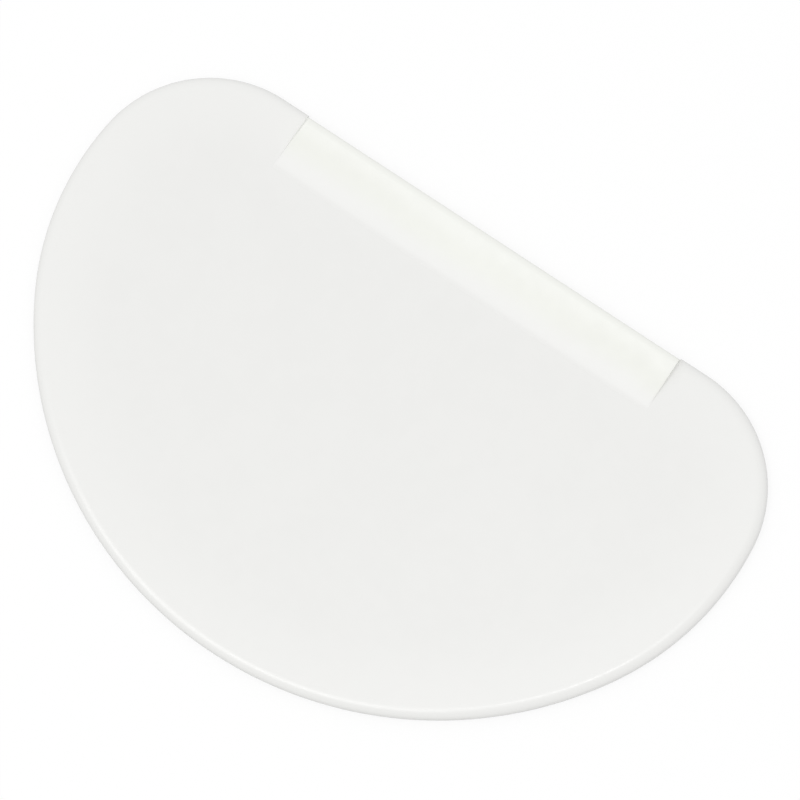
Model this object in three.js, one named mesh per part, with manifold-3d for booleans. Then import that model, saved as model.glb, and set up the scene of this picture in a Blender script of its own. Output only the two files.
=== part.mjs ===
// Half-moon pastry scraper: a flat flexible blade with a wedge-shaped grip bar over its straight edge.
// Millimetres, +Z up. The blade lies on its flat back, X along the straight edge, Y towards the grip.
import * as THREE from 'three';
import { mergeVertices } from 'three/addons/utils/BufferGeometryUtils.js';
import Module from 'manifold-3d';

const radians = THREE.MathUtils.degToRad;
const QUARTER_TURN = Math.PI / 2;

// Grip bar: length along the straight edge, width across the blade, rise of its lip above the front face,
// and how far its outer side stands inside the straight edge
const GRIP_LENGTH = 85.2;
const GRIP_WIDTH = 12.1;
const GRIP_RISE = 1.75;
const GRIP_SETBACK = 0.25;

// Grip's lip: half axes of its ellipse and its setback from the outer side
const LIP_WIDTH = 0.95;
const LIP_HEIGHT = 0.38;
const LIP_SETBACK = 0.55;

// Finger face: depth of its hollow, and the length of its blend into the blade's front
const FACE_HOLLOW = 0.14;
const FOOT_BLEND = 1.6;

// Grip's ends: run of their rounding along the edge and its drop, at most a share of the lip's tightest curve
const END_RUN = 1.6;
const END_DROP = 0.2;
const END_LIMIT = 0.7;

// Blade outline: a straight edge, then on each half a lobe, a side and the shared front arc, all tangent
const SHOULDER_LENGTH = 5.8;
const LOBE_RADIUS = 25.4;
const LOBE_TURN = radians(83.2);
const SIDE_RADIUS = 57.1;
const SIDE_TURN = radians(37.3);

// Blade section: flat faces and a rounded rim with a narrow land at mid thickness
const BLADE_THICKNESS = 2.8;
const RIM_WIDTH = 2.2;
const RIM_LAND = 0.4;

// Joint: the blade's thinned tongue lies in the grip's slot, and posts of the grip fill lock holes in it
const TONGUE_THICKNESS = 1.2;
const WEB_THICKNESS = 2.4;
const LOCK_COUNT = 5;
const LOCK_DIAMETER = 4.6;
const FIT_CLEARANCE = 0.1;

// Facets
const ARC_STEPS = 16;
const RIM_STEPS = 5;
const SECTION_STEPS = 8;
const END_STEPS = 4;
const POST_SIDES = 32;

// How far a cutting body reaches past what it cuts
const CUT_PAST = 1;

// Centres of the outline's arcs, measured from the middle of the straight edge
const straightLength = GRIP_LENGTH + 2 * SHOULDER_LENGTH;
const lobeCentre = new THREE.Vector2(straightLength / 2, -LOBE_RADIUS);
const sideCentre = lobeCentre.clone().addScaledVector(outward(LOBE_TURN), LOBE_RADIUS - SIDE_RADIUS);
const halfTurn = LOBE_TURN + SIDE_TURN;
const frontRadius = SIDE_RADIUS + sideCentre.x / Math.sin(halfTurn);
const frontCentre = sideCentre.clone().addScaledVector(outward(halfTurn), SIDE_RADIUS - frontRadius);
const bladeHeight = frontRadius - frontCentre.y;

// Levels across the blade, with the origin midway between the straight edge and the front
const edgeY = bladeHeight / 2;
const outerY = edgeY - GRIP_SETBACK;
const footY = outerY - GRIP_WIDTH;
const slotEndY = outerY - WEB_THICKNESS;
const tongueTipY = slotEndY - FIT_CLEARANCE;
const lockY = (footY + tongueTipY) / 2;

// Levels through the thickness
const tongueLowZ = (BLADE_THICKNESS - TONGUE_THICKNESS) / 2;
const tongueHighZ = tongueLowZ + TONGUE_THICKNESS;
const rimDepth = (BLADE_THICKNESS - RIM_LAND) / 2;
const landTopZ = rimDepth + RIM_LAND;

// Lip's ellipse, which the drafted outer wall and the finger face touch, and the pull that hollows the face
const lipSize = new THREE.Vector2(LIP_WIDTH, LIP_HEIGHT);
const lipTop = new THREE.Vector2(outerY - LIP_SETBACK - LIP_WIDTH, BLADE_THICKNESS + GRIP_RISE);
const lipCentre = new THREE.Vector2(lipTop.x, lipTop.y - LIP_HEIGHT);
const wallFoot = new THREE.Vector2(outerY, landTopZ);
const faceFoot = new THREE.Vector2(footY + FOOT_BLEND / 2, BLADE_THICKNESS);
const facePull = faceFoot.clone().lerp(lipTop, 0.5).sub(new THREE.Vector2(0, 2 * FACE_HOLLOW));
const wallTouch = touchAngle(wallFoot, -1);
const faceTouch = touchAngle(facePull, 1);

// The ends drop by no more than the lip's curve allows, so the section never folds over
const tightestCurve = Math.min(LIP_WIDTH, LIP_HEIGHT) ** 2 / Math.max(LIP_WIDTH, LIP_HEIGHT);
const endDrop = Math.min(END_DROP, END_LIMIT * tightestCurve);

const wasm = await Module();
wasm.setup();

// Outward direction of the outline after it has turned clockwise by this angle from the straight edge
function outward(turn) {
  return new THREE.Vector2(Math.sin(turn), Math.cos(turn));
}

// Angle on the lip's ellipse where a line from the point touches it, on the given side of its centre
function touchAngle(point, side) {
  const toCentre = lipCentre.clone().sub(point).divide(lipSize);
  return toCentre.angle() + side * (Math.asin(1 / toCentre.length()) + QUARTER_TURN);
}

function lipPoint(angle) {
  return new THREE.Vector2(Math.cos(angle), Math.sin(angle)).multiply(lipSize).add(lipCentre);
}

function toSolid(geometry) {
  geometry.deleteAttribute('normal');
  geometry.deleteAttribute('uv');
  const merged = mergeVertices(geometry);
  const mesh = new wasm.Mesh({
    numProp: 3,
    vertProperties: Float32Array.from(merged.attributes.position.array),
    triVerts: Uint32Array.from(merged.index.array),
  });
  return new wasm.Manifold(mesh);
}

function toGeometry(solid) {
  const mesh = solid.getMesh();
  const geometry = new THREE.BufferGeometry();
  geometry.setAttribute('position', new THREE.BufferAttribute(Float32Array.from(mesh.vertProperties), 3));
  geometry.setIndex(new THREE.BufferAttribute(Uint32Array.from(mesh.triVerts), 1));
  geometry.computeVertexNormals();
  return geometry;
}

function block(halfLength, lowY, highY, lowZ, highZ) {
  const geometry = new THREE.BoxGeometry(2 * halfLength, highY - lowY, highZ - lowZ);
  geometry.translate(0, (lowY + highY) / 2, (lowZ + highZ) / 2);
  return toSolid(geometry);
}

// A row of upright round bodies on the lock positions, through the tongue and past both its faces
function lockRow(radius) {
  const pitch = GRIP_LENGTH / LOCK_COUNT;
  const height = TONGUE_THICKNESS + 2 * CUT_PAST;
  const bodies = [];
  for (let index = 0; index < LOCK_COUNT; index += 1) {
    const geometry = new THREE.CylinderGeometry(radius, radius, height, POST_SIDES);
    geometry.rotateX(QUARTER_TURN);
    geometry.translate((index - (LOCK_COUNT - 1) / 2) * pitch, lockY, BLADE_THICKNESS / 2);
    bodies.push(toSolid(geometry));
  }
  return bodies.reduce((row, body) => row.add(body));
}

function bladeOutline() {
  const up = QUARTER_TURN;
  const lobeY = edgeY + lobeCentre.y;
  const sideY = edgeY + sideCentre.y;
  const outline = new THREE.Shape();
  outline.moveTo(-lobeCentre.x, edgeY);
  outline.lineTo(lobeCentre.x, edgeY);
  outline.absarc(lobeCentre.x, lobeY, LOBE_RADIUS, up, up - LOBE_TURN, true);
  outline.absarc(sideCentre.x, sideY, SIDE_RADIUS, up - LOBE_TURN, up - halfTurn, true);
  outline.absarc(0, edgeY + frontCentre.y, frontRadius, up - halfTurn, halfTurn - 3 * up, true);
  outline.absarc(-sideCentre.x, sideY, SIDE_RADIUS, halfTurn - 3 * up, LOBE_TURN - 3 * up, true);
  outline.absarc(-lobeCentre.x, lobeY, LOBE_RADIUS, LOBE_TURN - 3 * up, -3 * up, true);
  return outline;
}

// Flat plate whose rim is rounded towards both faces
function bladePlate() {
  const geometry = new THREE.ExtrudeGeometry(bladeOutline(), {
    depth: RIM_LAND,
    bevelThickness: rimDepth,
    bevelSize: RIM_WIDTH,
    bevelOffset: -RIM_WIDTH,
    bevelSegments: RIM_STEPS,
    curveSegments: ARC_STEPS,
  });
  geometry.translate(0, 0, rimDepth);
  return toSolid(geometry);
}

// The plate, stepped down on both faces to a tongue with lock holes where the grip sits
function bladeSolid() {
  const seat = block(GRIP_LENGTH / 2, footY, edgeY + CUT_PAST, -CUT_PAST, BLADE_THICKNESS + CUT_PAST);
  const tongue = block(GRIP_LENGTH / 2 + CUT_PAST, footY - CUT_PAST, tongueTipY, tongueLowZ, tongueHighZ);
  return bladePlate().subtract(seat.subtract(tongue)).subtract(lockRow(LOCK_DIAMETER / 2));
}

// Section of the grip up to the front face: flat back, an edge like the blade's rim, and a drafted outer wall
function baseSection() {
  const wallTop = lipPoint(wallTouch);
  const wallShare = (BLADE_THICKNESS - landTopZ) / (wallTop.y - landTopZ);
  const wallCorner = wallFoot.clone().lerp(wallTop, wallShare);
  const section = new THREE.Shape();
  section.moveTo(footY, 0);
  section.lineTo(outerY - RIM_WIDTH, 0);
  section.absellipse(outerY - RIM_WIDTH, rimDepth, RIM_WIDTH, rimDepth, -QUARTER_TURN, 0, false);
  section.lineTo(wallFoot.x, wallFoot.y);
  section.lineTo(wallCorner.x, wallCorner.y);
  section.lineTo(footY, BLADE_THICKNESS);
  return section;
}

// Section of the wedge: outer wall, rounded lip, and a hollow finger face that blends into the blade's front
function wedgeSection() {
  const blendShare = FOOT_BLEND / 2 / (facePull.x - faceFoot.x);
  const blendStart = faceFoot.clone().lerp(facePull, blendShare);
  const section = new THREE.Shape();
  section.moveTo(footY, rimDepth);
  section.lineTo(outerY, rimDepth);
  section.lineTo(wallFoot.x, wallFoot.y);
  section.absellipse(lipCentre.x, lipCentre.y, LIP_WIDTH, LIP_HEIGHT, wallTouch, faceTouch, false);
  section.quadraticCurveTo(facePull.x, facePull.y, blendStart.x, blendStart.y);
  section.quadraticCurveTo(faceFoot.x, faceFoot.y, footY, BLADE_THICKNESS);
  return section;
}

// A section drawn out along the straight edge over the grip's length, its ends rounded by a run and a drop
function alongEdge(section, run, drop) {
  const geometry = new THREE.ExtrudeGeometry(section, {
    depth: GRIP_LENGTH - 2 * run,
    bevelEnabled: run > 0,
    bevelThickness: run,
    bevelSize: drop,
    bevelOffset: -drop,
    bevelSegments: END_STEPS,
    curveSegments: SECTION_STEPS,
  });
  geometry.translate(0, 0, run - GRIP_LENGTH / 2);
  const turned = new THREE.Matrix4().makeBasis(
    new THREE.Vector3(0, 1, 0),
    new THREE.Vector3(0, 0, 1),
    new THREE.Vector3(1, 0, 0),
  );
  geometry.applyMatrix4(turned);
  return toSolid(geometry);
}

// The bar, slotted for the tongue except where its posts cross the slot
function gripSolid() {
  const slot = block(
    GRIP_LENGTH / 2 + CUT_PAST,
    footY - CUT_PAST,
    slotEndY,
    tongueLowZ - FIT_CLEARANCE,
    tongueHighZ + FIT_CLEARANCE,
  );
  const posts = lockRow(LOCK_DIAMETER / 2 - FIT_CLEARANCE);
  const bar = alongEdge(baseSection(), 0, 0).add(alongEdge(wedgeSection(), END_RUN, endDrop));
  return bar.subtract(slot.subtract(posts));
}

function piece(name, solid, color, roughness) {
  const material = new THREE.MeshStandardMaterial({ color, roughness, metalness: 0 });
  const mesh = new THREE.Mesh(toGeometry(solid), material);
  mesh.name = name;
  return mesh;
}

const scraper = new THREE.Group();
scraper.add(piece('blade', bladeSolid(), '#ececea', 0.4));
scraper.add(piece('grip', gripSolid(), '#eff0eb', 0.4));

export default scraper;
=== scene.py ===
# Half-moon pastry scraper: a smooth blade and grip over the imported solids, in white moulded plastic.
import math

import bmesh
import bpy
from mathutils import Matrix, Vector, kdtree


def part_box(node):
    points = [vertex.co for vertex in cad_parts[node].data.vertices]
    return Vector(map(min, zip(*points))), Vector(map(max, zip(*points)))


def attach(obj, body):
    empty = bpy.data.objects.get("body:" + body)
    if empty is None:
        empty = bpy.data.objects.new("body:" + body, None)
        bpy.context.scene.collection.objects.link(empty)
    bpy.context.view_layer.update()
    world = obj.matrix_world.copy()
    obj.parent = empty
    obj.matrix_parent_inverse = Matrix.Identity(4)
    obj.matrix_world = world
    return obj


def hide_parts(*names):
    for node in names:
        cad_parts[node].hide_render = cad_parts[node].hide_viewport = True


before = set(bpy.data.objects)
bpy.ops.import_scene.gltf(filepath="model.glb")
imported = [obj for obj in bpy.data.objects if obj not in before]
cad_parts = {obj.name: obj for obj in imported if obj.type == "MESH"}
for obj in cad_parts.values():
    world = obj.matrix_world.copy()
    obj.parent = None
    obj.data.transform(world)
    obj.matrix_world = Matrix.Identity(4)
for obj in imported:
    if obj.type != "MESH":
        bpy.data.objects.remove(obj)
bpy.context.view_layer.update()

MM = 0.001

# Blade outline: on each half a lobe, a side and the shared front arc, tangent to each other
LOBE_RADIUS = 25.4 * MM
LOBE_TURN = math.radians(83.2)
SIDE_RADIUS = 57.1 * MM
SIDE_TURN = math.radians(37.3)

# Blade section: a rounded rim with a narrow land at mid thickness
RIM_WIDTH = 2.2 * MM
RIM_LAND = 0.4 * MM
FACE_INSETS = (18 * MM, 13 * MM, 9 * MM, 6.5 * MM, 4.6 * MM, 3.4 * MM, 2.7 * MM)

# Grip section and the joint under it
LIP_WIDTH = 0.95 * MM
LIP_HEIGHT = 0.38 * MM
LIP_SETBACK = 0.55 * MM
FACE_HOLLOW = 0.14 * MM
FOOT_BLEND = 1.6 * MM
END_RUN = 1.6 * MM
END_DROP = 0.1 * MM
LEFT_END_LEAN = math.radians(20)
TONGUE_THICKNESS = 1.2 * MM
WEB_THICKNESS = 2.4 * MM
FIT_CLEARANCE = 0.1 * MM
LOCK_COUNT = 5
LOCK_DIAMETER = 4.6 * MM
CUT_PAST = 1 * MM

# Smoothness of the modelled meshes
LOBE_STEPS = 56
SIDE_STEPS = 44
FRONT_STEPS = 150
STRAIGHT_STEPS = 40
RIM_STEPS = 16
WALL_STEPS = 6
LIP_STEPS = 20
FACE_STEPS = 12
GRIP_STEPS = 60
END_STEPS = 8
POST_SIDES = 48
SHARP_ANGLE = math.radians(40)

# Colours, as 8-bit values
BLADE_COLOUR = (237, 237, 235)
# Painted glow: the rim's lighter tone stands in for light coming through the thin plastic edge
BLADE_RIM_GLOW_COLOUR = (240, 240, 238)
GRIP_FOOT_COLOUR = (241, 241, 239)
GRIP_MIDDLE_COLOUR = (240, 241, 235)
# Painted shade: the warm band darker towards the grip's ends
GRIP_PAINTED_SHADE_COLOUR = (238, 239, 233)
# Painted highlight: the lip lighter, as the lamps' sheen falls along it
GRIP_LIP_HIGHLIGHT_COLOUR = (242, 243, 238)

# Tone of the blade, with a painted glow of light through the thin rim: it goes from the rim to the middle,
# as shares of the innermost ring's inset, in soft patches
RIM_GLOW_END = 0.1
MIDDLE_TONE_START = 1.0
PATCH_SIZE = 6 * MM
PATCH_LEAST = 0.75

# Tones of the grip, with painted shade towards the ends and a painted highlight on the lip: where each fades
# in, as shares of the width from the foot, and how its border wanders
FOOT_FADE = (0.0, 0.1)
MIDDLE_FADE = (0.12, 0.5)
LIP_HIGHLIGHT_FADE = (0.54, 0.8)
PAINTED_SHADE_REACH = 0.75
WANDER = 0.6 * MM
WANDER_ALONG = 30 * MM
WANDER_ACROSS = 60 * MM

# Plastic skin: grain, sink marks and patches of gloss in waves per metre, the relief, and the gloss itself
GRAIN_WAVES = 2600.0
SINK_WAVES = 45.0
GLOSS_WAVES = 420.0
GRAIN_SHARE = 0.15
RELIEF_DEPTH = 0.06 * MM
RELIEF_STRENGTH = 0.25
BLADE_ROUGHNESS = (0.21, 0.27)
GRIP_ROUGHNESS = (0.33, 0.41)
PLASTIC_IOR = 1.49

# Values of a noise between which patches fade in
NOISE_SPAN = (0.3, 0.7)

# Camera: direction from the blade to the lens, distance, and the point of the blade at the frame's centre
AZIMUTH = math.radians(33.92)
ELEVATION = math.radians(78.48)
DISTANCE = 900 * MM
AIM = Vector((2.63 * MM, 11.94 * MM, 0))
FRAME_PIXELS = 800
PIXELS_PER_MM = 5.279
SENSOR_WIDTH = 36

# Lamps stand this far off, in metres
LAMP_DISTANCE = 2.0

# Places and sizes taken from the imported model
blade_low, blade_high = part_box("blade")
grip_low, grip_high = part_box("grip")
half_width = (blade_high.x - blade_low.x) / 2
edge_y = blade_high.y
thickness = blade_high.z
grip_half = (grip_high.x - grip_low.x) / 2
foot_y = grip_low.y
outer_y = grip_high.y
lip_top = grip_high.z
slot_end_y = outer_y - WEB_THICKNESS
tongue_tip_y = slot_end_y - FIT_CLEARANCE
tongue_low = (thickness - TONGUE_THICKNESS) / 2
tongue_high = tongue_low + TONGUE_THICKNESS
rim_depth = (thickness - RIM_LAND) / 2


def outward(turn):
    """Outward direction of the outline, turned clockwise by this angle from the straight edge's."""
    return Vector((math.sin(turn), math.cos(turn)))


def outline_arcs():
    """Centre, radius, first and last turn and steps of each arc, clockwise from the straight edge."""
    half_turn = LOBE_TURN + SIDE_TURN
    full = 2 * math.pi
    apart = outward(LOBE_TURN) * (SIDE_RADIUS - LOBE_RADIUS)
    lobe = Vector((half_width - SIDE_RADIUS + apart.x, edge_y - LOBE_RADIUS))
    side = lobe - apart
    front_radius = SIDE_RADIUS + side.x / math.sin(half_turn)
    front = side + outward(half_turn) * (SIDE_RADIUS - front_radius)
    mirror = Vector((-1, 1))
    return [
        (lobe, LOBE_RADIUS, 0, LOBE_TURN, LOBE_STEPS),
        (side, SIDE_RADIUS, LOBE_TURN, half_turn, SIDE_STEPS),
        (front, front_radius, half_turn, full - half_turn, FRONT_STEPS),
        (side * mirror, SIDE_RADIUS, full - half_turn, full - LOBE_TURN, SIDE_STEPS),
        (lobe * mirror, LOBE_RADIUS, full - LOBE_TURN, full, LOBE_STEPS),
    ]


def outline(inset=0):
    """Points of the blade's outline, moved in from the rim by the inset."""
    points = []
    for centre, radius, start, end, steps in outline_arcs():
        for step in range(steps):
            turn = start + (end - start) * step / steps
            points.append(centre + outward(turn) * (radius - inset))
    half_straight = points[0].x
    for step in range(STRAIGHT_STEPS):
        points.append(Vector((half_straight * (2 * step / STRAIGHT_STEPS - 1), edge_y - inset)))
    return points


def rim_curve():
    """Inset from the outline and height above the land along the rim, from the face's edge to the land."""
    curve = []
    for step in range(RIM_STEPS + 1):
        angle = math.pi / 2 * step / RIM_STEPS
        curve.append((RIM_WIDTH * (1 - math.sin(angle)), rim_depth * math.cos(angle)))
    return curve


def rim_profile():
    """Inset and height of the rings from the middle of the front, round the rim, to that of the back."""
    half = [(inset, thickness / 2) for inset in FACE_INSETS]
    half += [(inset, RIM_LAND / 2 + height) for inset, height in rim_curve()]
    return half + [(inset, -height) for inset, height in reversed(half)]


def mesh_object(name, bm):
    """New object in the scene with this mesh, its faces turned outwards."""
    bmesh.ops.recalc_face_normals(bm, faces=bm.faces)
    mesh = bpy.data.meshes.new(name)
    bm.to_mesh(mesh)
    bm.free()
    obj = bpy.data.objects.new(name, mesh)
    bpy.context.scene.collection.objects.link(obj)
    return obj


def loft(name, rings):
    """Closed solid through rings of equally many points."""
    bm = bmesh.new()
    rows = [[bm.verts.new(point) for point in ring] for ring in rings]
    count = len(rows[0])
    for above, below in zip(rows, rows[1:]):
        for index in range(count):
            after = (index + 1) % count
            bm.faces.new((above[index], above[after], below[after], below[index]))
    bm.faces.new(rows[0])
    bm.faces.new(rows[-1])
    return mesh_object(name, bm)


def along_edge(section, half_length):
    """Rings of a section in the Y and Z plane at both ends of a length along the straight edge."""
    return [[(x, y, z) for y, z in section] for x in (-half_length, half_length)]


def lock_row(radius):
    """Upright round bodies on the lock positions, through the tongue and past its faces."""
    bm = bmesh.new()
    pitch = 2 * grip_half / LOCK_COUNT
    for index in range(LOCK_COUNT):
        made = bmesh.ops.create_cone(
            bm,
            cap_ends=True,
            segments=POST_SIDES,
            radius1=radius,
            radius2=radius,
            depth=TONGUE_THICKNESS + CUT_PAST,
        )
        place = Vector(((index - (LOCK_COUNT - 1) / 2) * pitch, (foot_y + tongue_tip_y) / 2, thickness / 2))
        bmesh.ops.translate(bm, verts=made["verts"], vec=place)
    return mesh_object("lock_row", bm)


def combine(target, tool, operation):
    """Cuts the tool out of the target, or joins it on, and removes the tool."""
    modifier = target.modifiers.new("combine", "BOOLEAN")
    modifier.object = tool
    modifier.operation = operation
    modifier.solver = "EXACT"
    graph = bpy.context.evaluated_depsgraph_get()
    made = bpy.data.meshes.new_from_object(target.evaluated_get(graph))
    target.modifiers.clear()
    old = target.data
    target.data = made
    made.name = target.name
    bpy.data.meshes.remove(old)
    bpy.data.objects.remove(tool)


def smooth(obj):
    """Smooth shading with crisp corners, and flat faces that stay flat."""
    obj.data.shade_smooth()
    obj.data.set_sharp_from_angle(angle=SHARP_ANGLE)
    weighted = obj.modifiers.new("weighted", "WEIGHTED_NORMAL")
    weighted.keep_sharp = True


def mark_rim(obj):
    """Stores how far each point lies from the outline, as a share of the innermost ring's inset."""
    points = outline()
    tree = kdtree.KDTree(len(points))
    for index, point in enumerate(points):
        tree.insert((point.x, point.y, 0), index)
    tree.balance()
    attribute = obj.data.attributes.new("rim_share", "FLOAT", "POINT")
    for vertex, item in zip(obj.data.vertices, attribute.data):
        distance = tree.find((vertex.co.x, vertex.co.y, 0))[2]
        item.value = min(1, distance / FACE_INSETS[0])


def make_blade():
    """Plate with a rounded rim, stepped down to a tongue with lock holes where the grip sits."""
    middle = thickness / 2
    rings = []
    for inset, height in rim_profile():
        rings.append([(point.x, point.y, middle + height) for point in outline(inset)])
    blade = loft("blade_body", rings)
    past_y = edge_y + CUT_PAST
    seat = [
        (foot_y, -CUT_PAST),
        (past_y, -CUT_PAST),
        (past_y, thickness + CUT_PAST),
        (foot_y, thickness + CUT_PAST),
        (foot_y, tongue_high),
        (tongue_tip_y, tongue_high),
        (tongue_tip_y, tongue_low),
        (foot_y, tongue_low),
    ]
    combine(blade, loft("seat", along_edge(seat, grip_half)), "DIFFERENCE")
    combine(blade, lock_row(LOCK_DIAMETER / 2), "DIFFERENCE")
    mark_rim(blade)
    smooth(blade)
    return blade


def touch_angle(point, lip, side):
    """Angle on the lip's ellipse where a line from the point touches it, on the given side of its centre."""
    reach = Vector(((lip.x - point.x) / LIP_WIDTH, (lip.y - point.y) / LIP_HEIGHT))
    return math.atan2(reach.y, reach.x) + side * (math.asin(1 / reach.length) + math.pi / 2)


def bend(start, pull, end, share):
    """Point on the curve from start to end that leaves and arrives along the lines to the pull."""
    return start.lerp(pull, share).lerp(pull.lerp(end, share), share)


def grip_skin():
    """Outer line of the grip's section, from its foot's back to the front: point and share of the drop."""
    lip = Vector((outer_y - LIP_SETBACK - LIP_WIDTH, lip_top - LIP_HEIGHT))
    wall_foot = Vector((outer_y, rim_depth + RIM_LAND))
    foot = Vector((foot_y, thickness))
    face_foot = Vector((foot_y + FOOT_BLEND / 2, thickness))
    face_pull = face_foot.lerp(Vector((lip.x, lip_top)), 0.5) - Vector((0, 2 * FACE_HOLLOW))
    face_end = face_foot.lerp(face_pull, FOOT_BLEND / 2 / (face_pull.x - face_foot.x))
    wall_touch = touch_angle(wall_foot, lip, -1)
    face_touch = touch_angle(face_pull, lip, 1)
    lip_line = []
    for step in range(LIP_STEPS + 1):
        angle = wall_touch + (face_touch - wall_touch) * step / LIP_STEPS
        lip_line.append(lip + Vector((LIP_WIDTH * math.cos(angle), LIP_HEIGHT * math.sin(angle))))
    skin = [(Vector((foot_y, 0)), 0)]
    for inset, height in rim_curve():
        skin.append((Vector((outer_y - inset, rim_depth - height)), 0))
    for step in range(WALL_STEPS):
        point = wall_foot.lerp(lip_line[0], step / WALL_STEPS)
        skin.append((point, max(0, (point.y - thickness) / (lip_line[0].y - thickness))))
    for point in lip_line:
        skin.append((point, 1))
    for step in range(1, FACE_STEPS):
        skin.append((bend(lip_line[-1], face_pull, face_end, step / FACE_STEPS), 1))
    for step in range(FACE_STEPS + 1):
        skin.append((bend(face_end, face_foot, foot, step / FACE_STEPS), 1))
    return skin


def grip_ring(skin, x, drop):
    """The skin at one place along the grip, its wedge lowered by the drop, at most to the blade's front."""
    ring = []
    for point, share in skin:
        floor = min(point.y, thickness)
        ring.append((x, point.x, max(floor, point.y - drop * share)))
    return ring


def grip_stations():
    """Places along the grip and the wedge's drop there: rounded ends and a straight run between them."""
    end = []
    for step in range(END_STEPS + 1):
        angle = math.pi / 2 * step / END_STEPS
        end.append((grip_half - END_RUN * (1 - math.cos(angle)), END_DROP * (1 - math.sin(angle))))
    run = grip_half - END_RUN
    middle = [(run * (1 - 2 * step / GRIP_STEPS), 0) for step in range(1, GRIP_STEPS)]
    return end + middle + [(-x, drop) for x, drop in reversed(end)]


def end_cut():
    """Body beside the grip's left end; with it cut off, the end leans back above the blade's front."""
    top = lip_top + CUT_PAST
    past = grip_half + CUT_PAST
    back = grip_half - math.tan(LEFT_END_LEAN) * (top - thickness)
    section = [(grip_half, thickness), (past, thickness), (past, top), (back, top)]
    places = (foot_y - CUT_PAST, outer_y + CUT_PAST)
    return loft("end_cut", [[(-x, y, z) for x, z in section] for y in places])


def make_grip():
    """Wedge bar with a slot for the tongue and posts in the tongue's holes."""
    skin = grip_skin()
    slot_low = tongue_low - FIT_CLEARANCE
    slot_high = tongue_high + FIT_CLEARANCE
    slot = [(foot_y, slot_high), (slot_end_y, slot_high), (slot_end_y, slot_low), (foot_y, slot_low)]
    rings = [grip_ring(skin, x, drop) + [(x, y, z) for y, z in slot] for x, drop in grip_stations()]
    grip = loft("grip_body", rings)
    combine(grip, lock_row(LOCK_DIAMETER / 2 - FIT_CLEARANCE), "UNION")
    combine(grip, end_cut(), "DIFFERENCE")
    smooth(grip)
    return grip


def linear(colour):
    """Linear value of an 8-bit colour, with full alpha."""
    values = []
    for channel in colour:
        share = channel / 255
        values.append(share / 12.92 if share <= 0.04045 else ((share + 0.055) / 1.055) ** 2.4)
    return (*values, 1)


class Nodes:
    """Short calls for a node tree."""

    def __init__(self, tree):
        self.tree = tree
        tree.nodes.clear()

    def feed(self, socket, value):
        """Links an input to another node's output, or sets it to a plain value."""
        if isinstance(value, bpy.types.NodeSocket):
            self.tree.links.new(value, socket)
        else:
            socket.default_value = value

    def add(self, kind, inputs=None, **settings):
        """New node with these inputs and settings."""
        node = self.tree.nodes.new(kind)
        for name, value in settings.items():
            setattr(node, name, value)
        for name, value in (inputs or {}).items():
            self.feed(node.inputs[name], value)
        return node

    def math(self, operation, first, second=0.0):
        """Result of an operation on one or two values."""
        return self.add("ShaderNodeMath", {0: first, 1: second}, operation=operation).outputs[0]

    def ramp(self, value, low, high, to_low=0.0, to_high=1.0):
        """Smooth step from to_low to to_high while the value goes from low to high."""
        inputs = {"Value": value, "From Min": low, "From Max": high, "To Min": to_low, "To Max": to_high}
        return self.add("ShaderNodeMapRange", inputs, interpolation_type="SMOOTHSTEP").outputs[0]

    def mix(self, share, first, second):
        """Colour that goes from the first to the second with the share."""
        # The node has sockets for each kind of data under the same names; these are its colour sockets
        first_place, second_place, result_place = 6, 7, 2
        inputs = {"Factor": share, first_place: first, second_place: second}
        return self.add("ShaderNodeMix", inputs, data_type="RGBA").outputs[result_place]

    def noise(self, place, scale, detail=2.0):
        """Random value that changes smoothly from place to place."""
        inputs = {"Vector": place, "Scale": scale, "Detail": detail}
        return self.add("ShaderNodeTexNoise", inputs).outputs["Fac"]

    def cloud(self, place, along, across):
        """Soft patches from zero to one, of the given lengths along and across the straight edge."""
        size = (1 / along, 1 / across, 1 / across)
        stretched = self.add("ShaderNodeMapping", {"Vector": place, "Scale": size})
        return self.ramp(self.noise(stretched.outputs["Vector"], 1.0), *NOISE_SPAN)

    def background_ray(self):
        """One where the camera, a reflection or a transmitted ray sees the background, else zero."""
        path = self.add("ShaderNodeLightPath").outputs
        mirrored = self.math("MAXIMUM", path["Is Glossy Ray"], path["Is Transmission Ray"])
        return self.math("MAXIMUM", path["Is Camera Ray"], mirrored)


def plastic(name, colour_of, roughness):
    """White moulded polypropylene: a satin skin with a fine grain."""
    material = bpy.data.materials.new(name)
    material.use_nodes = True
    nodes = Nodes(material.node_tree)
    place = nodes.add("ShaderNodeTexCoord").outputs["Object"]
    grain = nodes.noise(place, GRAIN_WAVES, detail=3.0)
    sink = nodes.noise(place, SINK_WAVES, detail=1.0)
    relief = nodes.math("ADD", nodes.math("MULTIPLY", grain, GRAIN_SHARE), sink)
    relief_inputs = {"Height": relief, "Strength": RELIEF_STRENGTH, "Distance": RELIEF_DEPTH}
    bump = nodes.add("ShaderNodeBump", relief_inputs)
    gloss = nodes.noise(place, GLOSS_WAVES, detail=3.0)
    shader = nodes.add(
        "ShaderNodeBsdfPrincipled",
        {
            "Base Color": colour_of(nodes, place),
            "Roughness": nodes.ramp(gloss, *NOISE_SPAN, *roughness),
            "IOR": PLASTIC_IOR,
            "Normal": bump.outputs["Normal"],
        },
    )
    nodes.add("ShaderNodeOutputMaterial", {"Surface": shader.outputs[0]})
    return material


def blade_colour(nodes, place):
    """The rim's painted glow of light through the thin edge, which goes over to the middle's tone in soft
    patches.
    """
    share = nodes.add("ShaderNodeAttribute", attribute_name="rim_share").outputs["Fac"]
    patches = nodes.ramp(nodes.cloud(place, PATCH_SIZE, PATCH_SIZE), 0.0, 1.0, PATCH_LEAST, 1.0)
    inner = nodes.math("MULTIPLY", nodes.ramp(share, RIM_GLOW_END, MIDDLE_TONE_START), patches)
    return nodes.mix(inner, linear(BLADE_RIM_GLOW_COLOUR), linear(BLADE_COLOUR))


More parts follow.
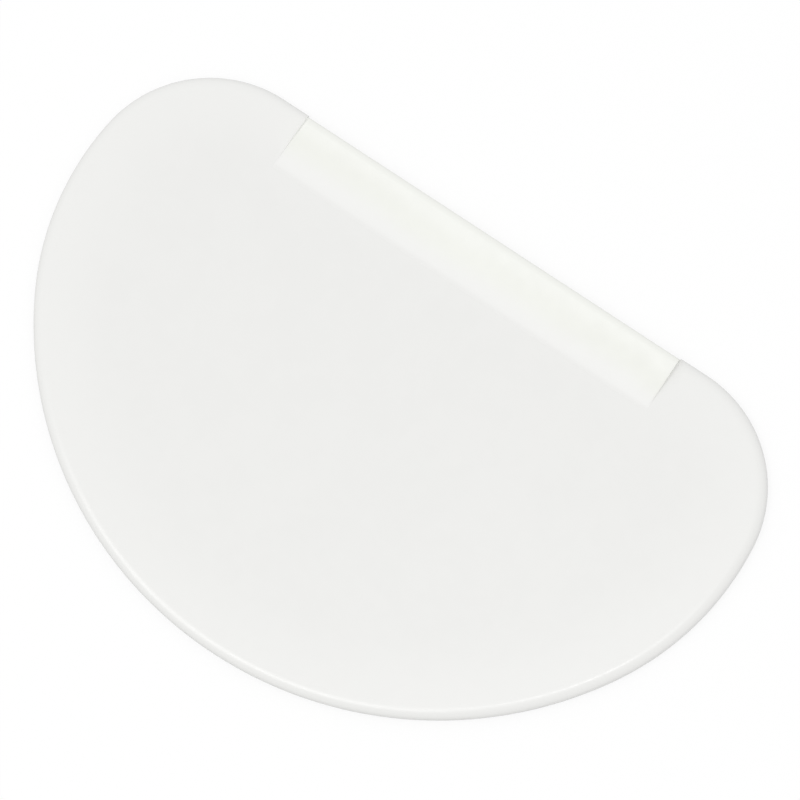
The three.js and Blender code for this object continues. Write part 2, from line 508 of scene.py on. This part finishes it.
def grip_colour(nodes, place):
    """The blade's tone at the foot, then white, then a warm band with painted shade deeper near the ends,
    and a painted highlight on the lip.
    """
    axes = nodes.add("ShaderNodeSeparateXYZ", {"Vector": place}).outputs
    # Painted shade: the warm band goes darker towards the ends
    end_share = nodes.ramp(nodes.math("ABSOLUTE", axes["X"]), 0.0, PAINTED_SHADE_REACH * grip_half)
    middle = nodes.mix(end_share, linear(GRIP_MIDDLE_COLOUR), linear(GRIP_PAINTED_SHADE_COLOUR))
    cloud = nodes.cloud(place, WANDER_ALONG, WANDER_ACROSS)
    wandering = nodes.math("ADD", axes["Y"], nodes.ramp(cloud, 0.0, 1.0, WANDER, -WANDER))
    width = outer_y - foot_y
    tone = linear(BLADE_COLOUR)
    # The last tone is a painted highlight along the lip
    for across, fade, colour in (
        (axes["Y"], FOOT_FADE, linear(GRIP_FOOT_COLOUR)),
        (wandering, MIDDLE_FADE, middle),
        (wandering, LIP_HIGHLIGHT_FADE, linear(GRIP_LIP_HIGHLIGHT_COLOUR)),
    ):
        start, end = (foot_y + share * width for share in fade)
        tone = nodes.mix(nodes.ramp(across, start, end), tone, colour)
    return tone


def dress(piece, node, material):
    """Gives a piece its material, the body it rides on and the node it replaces."""
    piece.data.materials.clear()
    piece.data.materials.append(material)
    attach(piece, "root")
    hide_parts(node)


def make_floor():
    """White where the camera sees it, with the object's shadow; it throws less light back up at the rim."""
    size = 4.0
    glow = 0.8
    bounce = 0.58
    bm = bmesh.new()
    bmesh.ops.create_grid(bm, x_segments=8, y_segments=8, size=size)
    floor = mesh_object("floor", bm)
    material = bpy.data.materials.new("floor_white")
    material.use_nodes = True
    nodes = Nodes(material.node_tree)
    seen = nodes.background_ray()
    white = nodes.mix(seen, (bounce, bounce, bounce, 1), (1, 1, 1, 1))
    paint = nodes.add("ShaderNodeBsdfDiffuse", {"Color": white})
    light = nodes.add("ShaderNodeEmission", {"Color": (1, 1, 1, 1), "Strength": 1.0})
    share = nodes.math("MULTIPLY", seen, glow)
    both = nodes.add("ShaderNodeMixShader", {0: share, 1: paint.outputs[0], 2: light.outputs[0]})
    nodes.add("ShaderNodeOutputMaterial", {"Surface": both.outputs[0]})
    floor.data.materials.append(material)


def make_world():
    """White where the camera sees it; as light, dimmer at the horizon than overhead, and on one side."""
    dim_horizon = 0.394
    bright_horizon = 0.62
    bright_turn = math.radians(306)
    overhead = 0.862
    overhead_height = 0.8
    world = bpy.data.worlds.new("studio")
    world.use_nodes = True
    nodes = Nodes(world.node_tree)
    place = nodes.add("ShaderNodeTexCoord").outputs["Generated"]
    height = nodes.add("ShaderNodeSeparateXYZ", {"Vector": place}).outputs["Z"]
    bright_side = outward(bright_turn).to_3d()
    towards = nodes.add("ShaderNodeVectorMath", {0: place, 1: bright_side}, operation="DOT_PRODUCT")
    horizon = nodes.ramp(towards.outputs["Value"], -1.0, 1.0, dim_horizon, bright_horizon)
    dome = nodes.ramp(height, 0.0, overhead_height, horizon, overhead)
    strength = nodes.math("MAXIMUM", nodes.background_ray(), dome)
    sky = nodes.add("ShaderNodeBackground", {"Color": (1, 1, 1, 1), "Strength": strength})
    nodes.add("ShaderNodeOutputWorld", {"Surface": sky.outputs[0]})
    bpy.context.scene.world = world


def softbox(name, turn, tilt, size, power):
    """Square lamp aimed at the blade from a compass turn and a tilt away from straight above, in degrees."""
    light = bpy.data.lights.new(name, "AREA")
    light.shape = "SQUARE"
    light.size = size
    light.energy = power
    lamp = bpy.data.objects.new(name, light)
    side = outward(math.radians(turn)) * math.sin(math.radians(tilt))
    place = Vector((side.x, side.y, math.cos(math.radians(tilt))))
    lamp.location = place * LAMP_DISTANCE
    lamp.rotation_euler = place.to_track_quat("Z", "Y").to_euler()
    bpy.context.scene.collection.objects.link(lamp)


def make_camera():
    """Camera on the photographed view."""
    back = Vector((
        math.sin(AZIMUTH) * math.cos(ELEVATION),
        -math.cos(AZIMUTH) * math.cos(ELEVATION),
        math.sin(ELEVATION),
    ))
    data = bpy.data.cameras.new("camera")
    data.sensor_width = SENSOR_WIDTH
    data.lens = PIXELS_PER_MM / MM * DISTANCE * SENSOR_WIDTH / FRAME_PIXELS
    camera = bpy.data.objects.new("camera", data)
    camera.location = AIM + back * DISTANCE
    camera.rotation_euler = back.to_track_quat("Z", "Y").to_euler()
    bpy.context.scene.collection.objects.link(camera)
    bpy.context.scene.camera = camera


make_camera()
dress(make_blade(), "blade", plastic("blade_plastic", blade_colour, BLADE_ROUGHNESS))
dress(make_grip(), "grip", plastic("grip_plastic", grip_colour, GRIP_ROUGHNESS))
make_floor()
make_world()
softbox("key", turn=214.7, tilt=24.8, size=0.7, power=4.25)
softbox("front", turn=174.4, tilt=13, size=0.49, power=2.8)
softbox("overhead", turn=59, tilt=6.65, size=0.16, power=1.62)
bpy.context.scene.view_settings.view_transform = "Standard"
